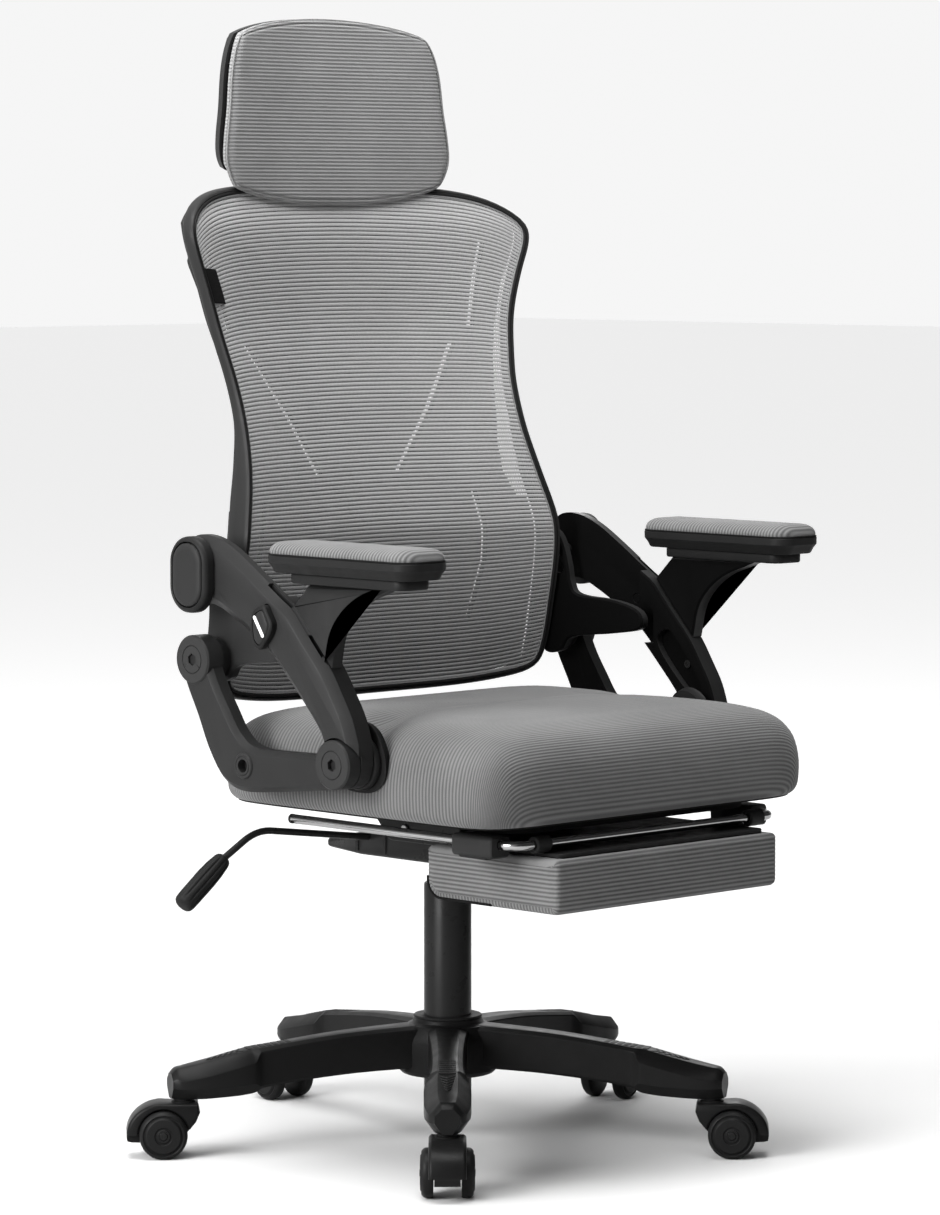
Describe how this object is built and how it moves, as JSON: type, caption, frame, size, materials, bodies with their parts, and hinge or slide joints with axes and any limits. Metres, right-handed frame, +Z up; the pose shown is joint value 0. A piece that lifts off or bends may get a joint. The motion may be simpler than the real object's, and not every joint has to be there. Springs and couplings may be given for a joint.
{
  "type": "gaming chair",
  "caption": "Reclining mesh-back swivel chair with a headrest, linked armrests, a pull-out flip-over footrest and a five-star base on twin-wheel casters.",
  "frame": {"origin": "centre of the footprint's bounding box, on the floor", "axes": "+Z up, -Y the way the sitter faces, +X the sitter's left"},
  "size_m": [0.6819, 0.6643, 1.18],
  "materials": {
    "nylon": "satin black moulded nylon",
    "tube_paint": "gloss black",
    "chrome": "polished",
    "mechanism": "black painted casting",
    "pan_steel": "satin black",
    "soft_grip": "matt ribbed",
    "board": "black painted",
    "seat_knit": "fine grey knit",
    "footrest_knit": "grey knit",
    "frame_plastic": "dark grey, fine grain",
    "black_plastic": "matt",
    "netting": "ribbed elastic netting",
    "pad_fabric": "grey padded",
    "tyre": "satin"
  },
  "bodies": {
    "base": {"star_base": "nylon", "gas_lift_tube": "tube_paint"},
    "lift": {"gas_lift_piston": "chrome"},
    "mechanism": {"tilt_housing": "mechanism", "tilt_pin": "chrome"},
    "tension_knob": {"tension_knob": "black_plastic"},
    "lever": {"lever_rod": "pan_steel", "lever_grip": "soft_grip"},
    "seat": {"seat_pan": "pan_steel", "seat_board": "board", "seat_cushion": "seat_knit", "seat_bracket_left": "frame_plastic", "seat_bracket_right": "frame_plastic", "footrest_guide_left": "black_plastic", "footrest_guide_right": "black_plastic"},
    "footrest_frame": {"footrest_rail": "chrome"},
    "footrest": {"footrest_flap": "frame_plastic", "footrest_cushion": "footrest_knit"},
    "backrest": {"back_hoop": "frame_plastic", "back_mesh": "netting", "back_shell": "frame_plastic", "recline_bracket_left": "frame_plastic", "recline_bracket_right": "frame_plastic", "headrest_mount": "frame_plastic"},
    "headrest_slide": {"headrest_slider": "frame_plastic"},
    "headrest": {"headrest_shell": "frame_plastic", "headrest_cushion": "netting"},
    "arm_left": {"arm_beam_left": "frame_plastic", "recline_pin_left": "frame_plastic"},
    "recline_button_left": {"recline_button_left": "black_plastic"},
    "linkage_button_left": {"linkage_button_left": "black_plastic"},
    "arm_support_left": {"arm_support_left": "frame_plastic", "pad_track_left": "black_plastic"},
    "arm_pad_left": {"pad_base_left": "black_plastic", "arm_pad_left": "pad_fabric"},
    "arm_right": {"arm_beam_right": "frame_plastic", "recline_pin_right": "frame_plastic"},
    "recline_button_right": {"recline_button_right": "black_plastic"},
    "linkage_button_right": {"linkage_button_right": "black_plastic"},
    "arm_support_right": {"arm_support_right": "frame_plastic", "pad_track_right": "black_plastic"},
    "arm_pad_right": {"pad_base_right": "black_plastic", "arm_pad_right": "pad_fabric"},
    "caster_1": {"caster_body_1": "nylon"},
    "wheel_1a": {"caster_wheel_a_1": "tyre"},
    "wheel_1b": {"caster_wheel_b_1": "tyre"},
    "caster_2": {"caster_body_2": "nylon"},
    "wheel_2a": {"caster_wheel_a_2": "tyre"},
    "wheel_2b": {"caster_wheel_b_2": "tyre"},
    "caster_3": {"caster_body_3": "nylon"},
    "wheel_3a": {"caster_wheel_a_3": "tyre"},
    "wheel_3b": {"caster_wheel_b_3": "tyre"},
    "caster_4": {"caster_body_4": "nylon"},
    "wheel_4a": {"caster_wheel_a_4": "tyre"},
    "wheel_4b": {"caster_wheel_b_4": "tyre"},
    "caster_5": {"caster_body_5": "nylon"},
    "wheel_5a": {"caster_wheel_a_5": "tyre"},
    "wheel_5b": {"caster_wheel_b_5": "tyre"}
  },
  "joints": [
    {"name": "seat_lift", "type": "slide", "parent": "base", "child": "lift", "axis": [0, 0, 1], "range_m": [0, 0.08]},
    {"name": "seat_swivel", "type": "hinge", "parent": "lift", "child": "mechanism", "pos_m": [-0.0053, -0.0135, 0.294], "axis": [0, 0, 1], "continuous": true},
    {"name": "tension_knob_turn", "type": "hinge", "parent": "mechanism", "child": "tension_knob", "pos_m": [-0.0053, -0.0925, 0.294], "axis": [0, 0, 1], "continuous": true},
    {"name": "height_lever", "type": "hinge", "parent": "mechanism", "child": "lever", "pos_m": [-0.0783, 0.0315, 0.324], "axis": [0, 1, 0], "range_deg": [0, 2.5], "stiffness_Nm_per_rad": 30, "springref_deg": -3.44},
    {"name": "seat_tilt", "type": "hinge", "parent": "mechanism", "child": "seat", "pos_m": [-0.0053, -0.0385, 0.339], "axis": [-1, 0, 0], "range_deg": [0, 8], "stiffness_Nm_per_rad": 70, "springref_deg": -40.11},
    {"name": "footrest_slide", "type": "slide", "parent": "seat", "child": "footrest_frame", "axis": [0, -1, 0], "range_m": [0, 0.22]},
    {"name": "footrest_flip", "type": "hinge", "parent": "footrest_frame", "child": "footrest", "pos_m": [-0.0053, -0.3035, 0.354], "axis": [-1, 0, 0], "range_deg": [0, 180]},
    {"name": "backrest_recline", "type": "hinge", "parent": "seat", "child": "backrest", "pos_m": [-0.0053, 0.0685, 0.521], "axis": [-1, 0, 0], "range_deg": [0, 20]},
    {"name": "headrest_height", "type": "slide", "parent": "backrest", "child": "headrest_slide", "axis": [0, 0, 1], "range_m": [0, 0.035]},
    {"name": "headrest_tilt", "type": "hinge", "parent": "headrest_slide", "child": "headrest", "pos_m": [-0.0053, 0.2005, 1.074], "axis": [-1, 0, 0], "range_deg": [0, 20]},
    {"name": "arm_swing_left", "type": "hinge", "parent": "seat", "child": "arm_left", "pos_m": [0.2567, -0.1395, 0.429], "axis": [-1, 0, 0], "range_deg": [0, 4.4]},
    {"name": "recline_button_left", "type": "slide", "parent": "arm_left", "child": "recline_button_left", "axis": [-1, 0, 0], "range_m": [0, 0.003], "stiffness_N_per_m": 600, "springref_m": -0.002},
    {"name": "linkage_button_left", "type": "slide", "parent": "arm_left", "child": "linkage_button_left", "axis": [-1, 0, 0], "range_m": [0, 0.003], "stiffness_N_per_m": 600, "springref_m": -0.002},
    {"name": "arm_lift_left", "type": "hinge", "parent": "arm_left", "child": "arm_support_left", "pos_m": [0.2627, -0.0375, 0.56], "axis": [-1, 0, 0], "range_deg": [0, 38]},
    {"name": "pad_slide_left", "type": "slide", "parent": "arm_support_left", "child": "arm_pad_left", "axis": [0, -1, 0], "range_m": [0, 0.03]},
    {"name": "arm_swing_right", "type": "hinge", "parent": "seat", "child": "arm_right", "pos_m": [-0.2673, -0.1395, 0.429], "axis": [-1, 0, 0], "range_deg": [0, 4.4]},
    {"name": "recline_button_right", "type": "slide", "parent": "arm_right", "child": "recline_button_right", "axis": [1, 0, 0], "range_m": [0, 0.003], "stiffness_N_per_m": 600, "springref_m": -0.002},
    {"name": "linkage_button_right", "type": "slide", "parent": "arm_right", "child": "linkage_button_right", "axis": [1, 0, 0], "range_m": [0, 0.003], "stiffness_N_per_m": 600, "springref_m": -0.002},
    {"name": "arm_lift_right", "type": "hinge", "parent": "arm_right", "child": "arm_support_right", "pos_m": [-0.2733, -0.0375, 0.56], "axis": [-1, 0, 0], "range_deg": [0, 38]},
    {"name": "pad_slide_right", "type": "slide", "parent": "arm_support_right", "child": "arm_pad_right", "axis": [0, -1, 0], "range_m": [0, 0.03]},
    {"name": "caster_swivel_1", "type": "hinge", "parent": "base", "child": "caster_1", "pos_m": [-0.2068, -0.21927, 0.054], "axis": [0, 0, 1], "continuous": true},
    {"name": "wheel_spin_1a", "type": "hinge", "parent": "caster_1", "child": "wheel_1a", "pos_m": [-0.22149, -0.23427, 0.025], "axis": [0.7145, -0.6997, 0], "continuous": true},
    {"name": "wheel_spin_1b", "type": "hinge", "parent": "caster_1", "child": "wheel_1b", "pos_m": [-0.22149, -0.23427, 0.025], "axis": [0.7145, -0.6997, 0], "continuous": true},
    {"name": "caster_swivel_2", "type": "hinge", "parent": "base", "child": "caster_2", "pos_m": [0.12813, -0.26873, 0.054], "axis": [0, 0, 1], "continuous": true},
    {"name": "wheel_spin_2a", "type": "hinge", "parent": "caster_2", "child": "wheel_2a", "pos_m": [0.14219, -0.28434, 0.025], "axis": [0.7431, 0.6691, 0], "continuous": true},
    {"name": "wheel_spin_2b", "type": "hinge", "parent": "caster_2", "child": "wheel_2b", "pos_m": [0.14219, -0.28434, 0.025], "axis": [0.7431, 0.6691, 0], "continuous": true},
    {"name": "caster_swivel_3", "type": "hinge", "parent": "base", "child": "caster_3", "pos_m": [0.27867, 0.03453, 0.054], "axis": [0, 0, 1], "continuous": true},
    {"name": "wheel_spin_3a", "type": "hinge", "parent": "caster_3", "child": "wheel_3a", "pos_m": [0.29886, 0.04032, 0.025], "axis": [-0.2756, 0.9613, 0], "continuous": true},
    {"name": "wheel_spin_3b", "type": "hinge", "parent": "caster_3", "child": "wheel_3b", "pos_m": [0.29886, 0.04032, 0.025], "axis": [-0.2756, 0.9613, 0], "continuous": true},
    {"name": "caster_swivel_4", "type": "hinge", "parent": "base", "child": "caster_4", "pos_m": [0.03678, 0.27141, 0.054], "axis": [0, 0, 1], "continuous": true},
    {"name": "wheel_spin_4a", "type": "hinge", "parent": "caster_4", "child": "wheel_4a", "pos_m": [0.03897, 0.29229, 0.025], "axis": [-0.9945, 0.1045, 0], "continuous": true},
    {"name": "wheel_spin_4b", "type": "hinge", "parent": "caster_4", "child": "wheel_4b", "pos_m": [0.03897, 0.29229, 0.025], "axis": [-0.9945, 0.1045, 0], "continuous": true},
    {"name": "caster_swivel_5", "type": "hinge", "parent": "base", "child": "caster_5", "pos_m": [-0.26326, 0.11455, 0.054], "axis": [0, 0, 1], "continuous": true},
    {"name": "wheel_spin_5a", "type": "hinge", "parent": "caster_5", "child": "wheel_5a", "pos_m": [-0.27935, 0.12805, 0.025], "axis": [-0.6428, -0.766, 0], "continuous": true},
    {"name": "wheel_spin_5b", "type": "hinge", "parent": "caster_5", "child": "wheel_5b", "pos_m": [-0.27935, 0.12805, 0.025], "axis": [-0.6428, -0.766, 0], "continuous": true}
  ],
  "couplings": [
    {"joint": "arm_swing_left", "follows": "backrest_recline", "ratio": 0.22},
    {"joint": "arm_swing_right", "follows": "backrest_recline", "ratio": 0.22},
    {"joint": "footrest_flip", "follows": "footrest_slide", "rad_per_m": 14.27}
  ]
}
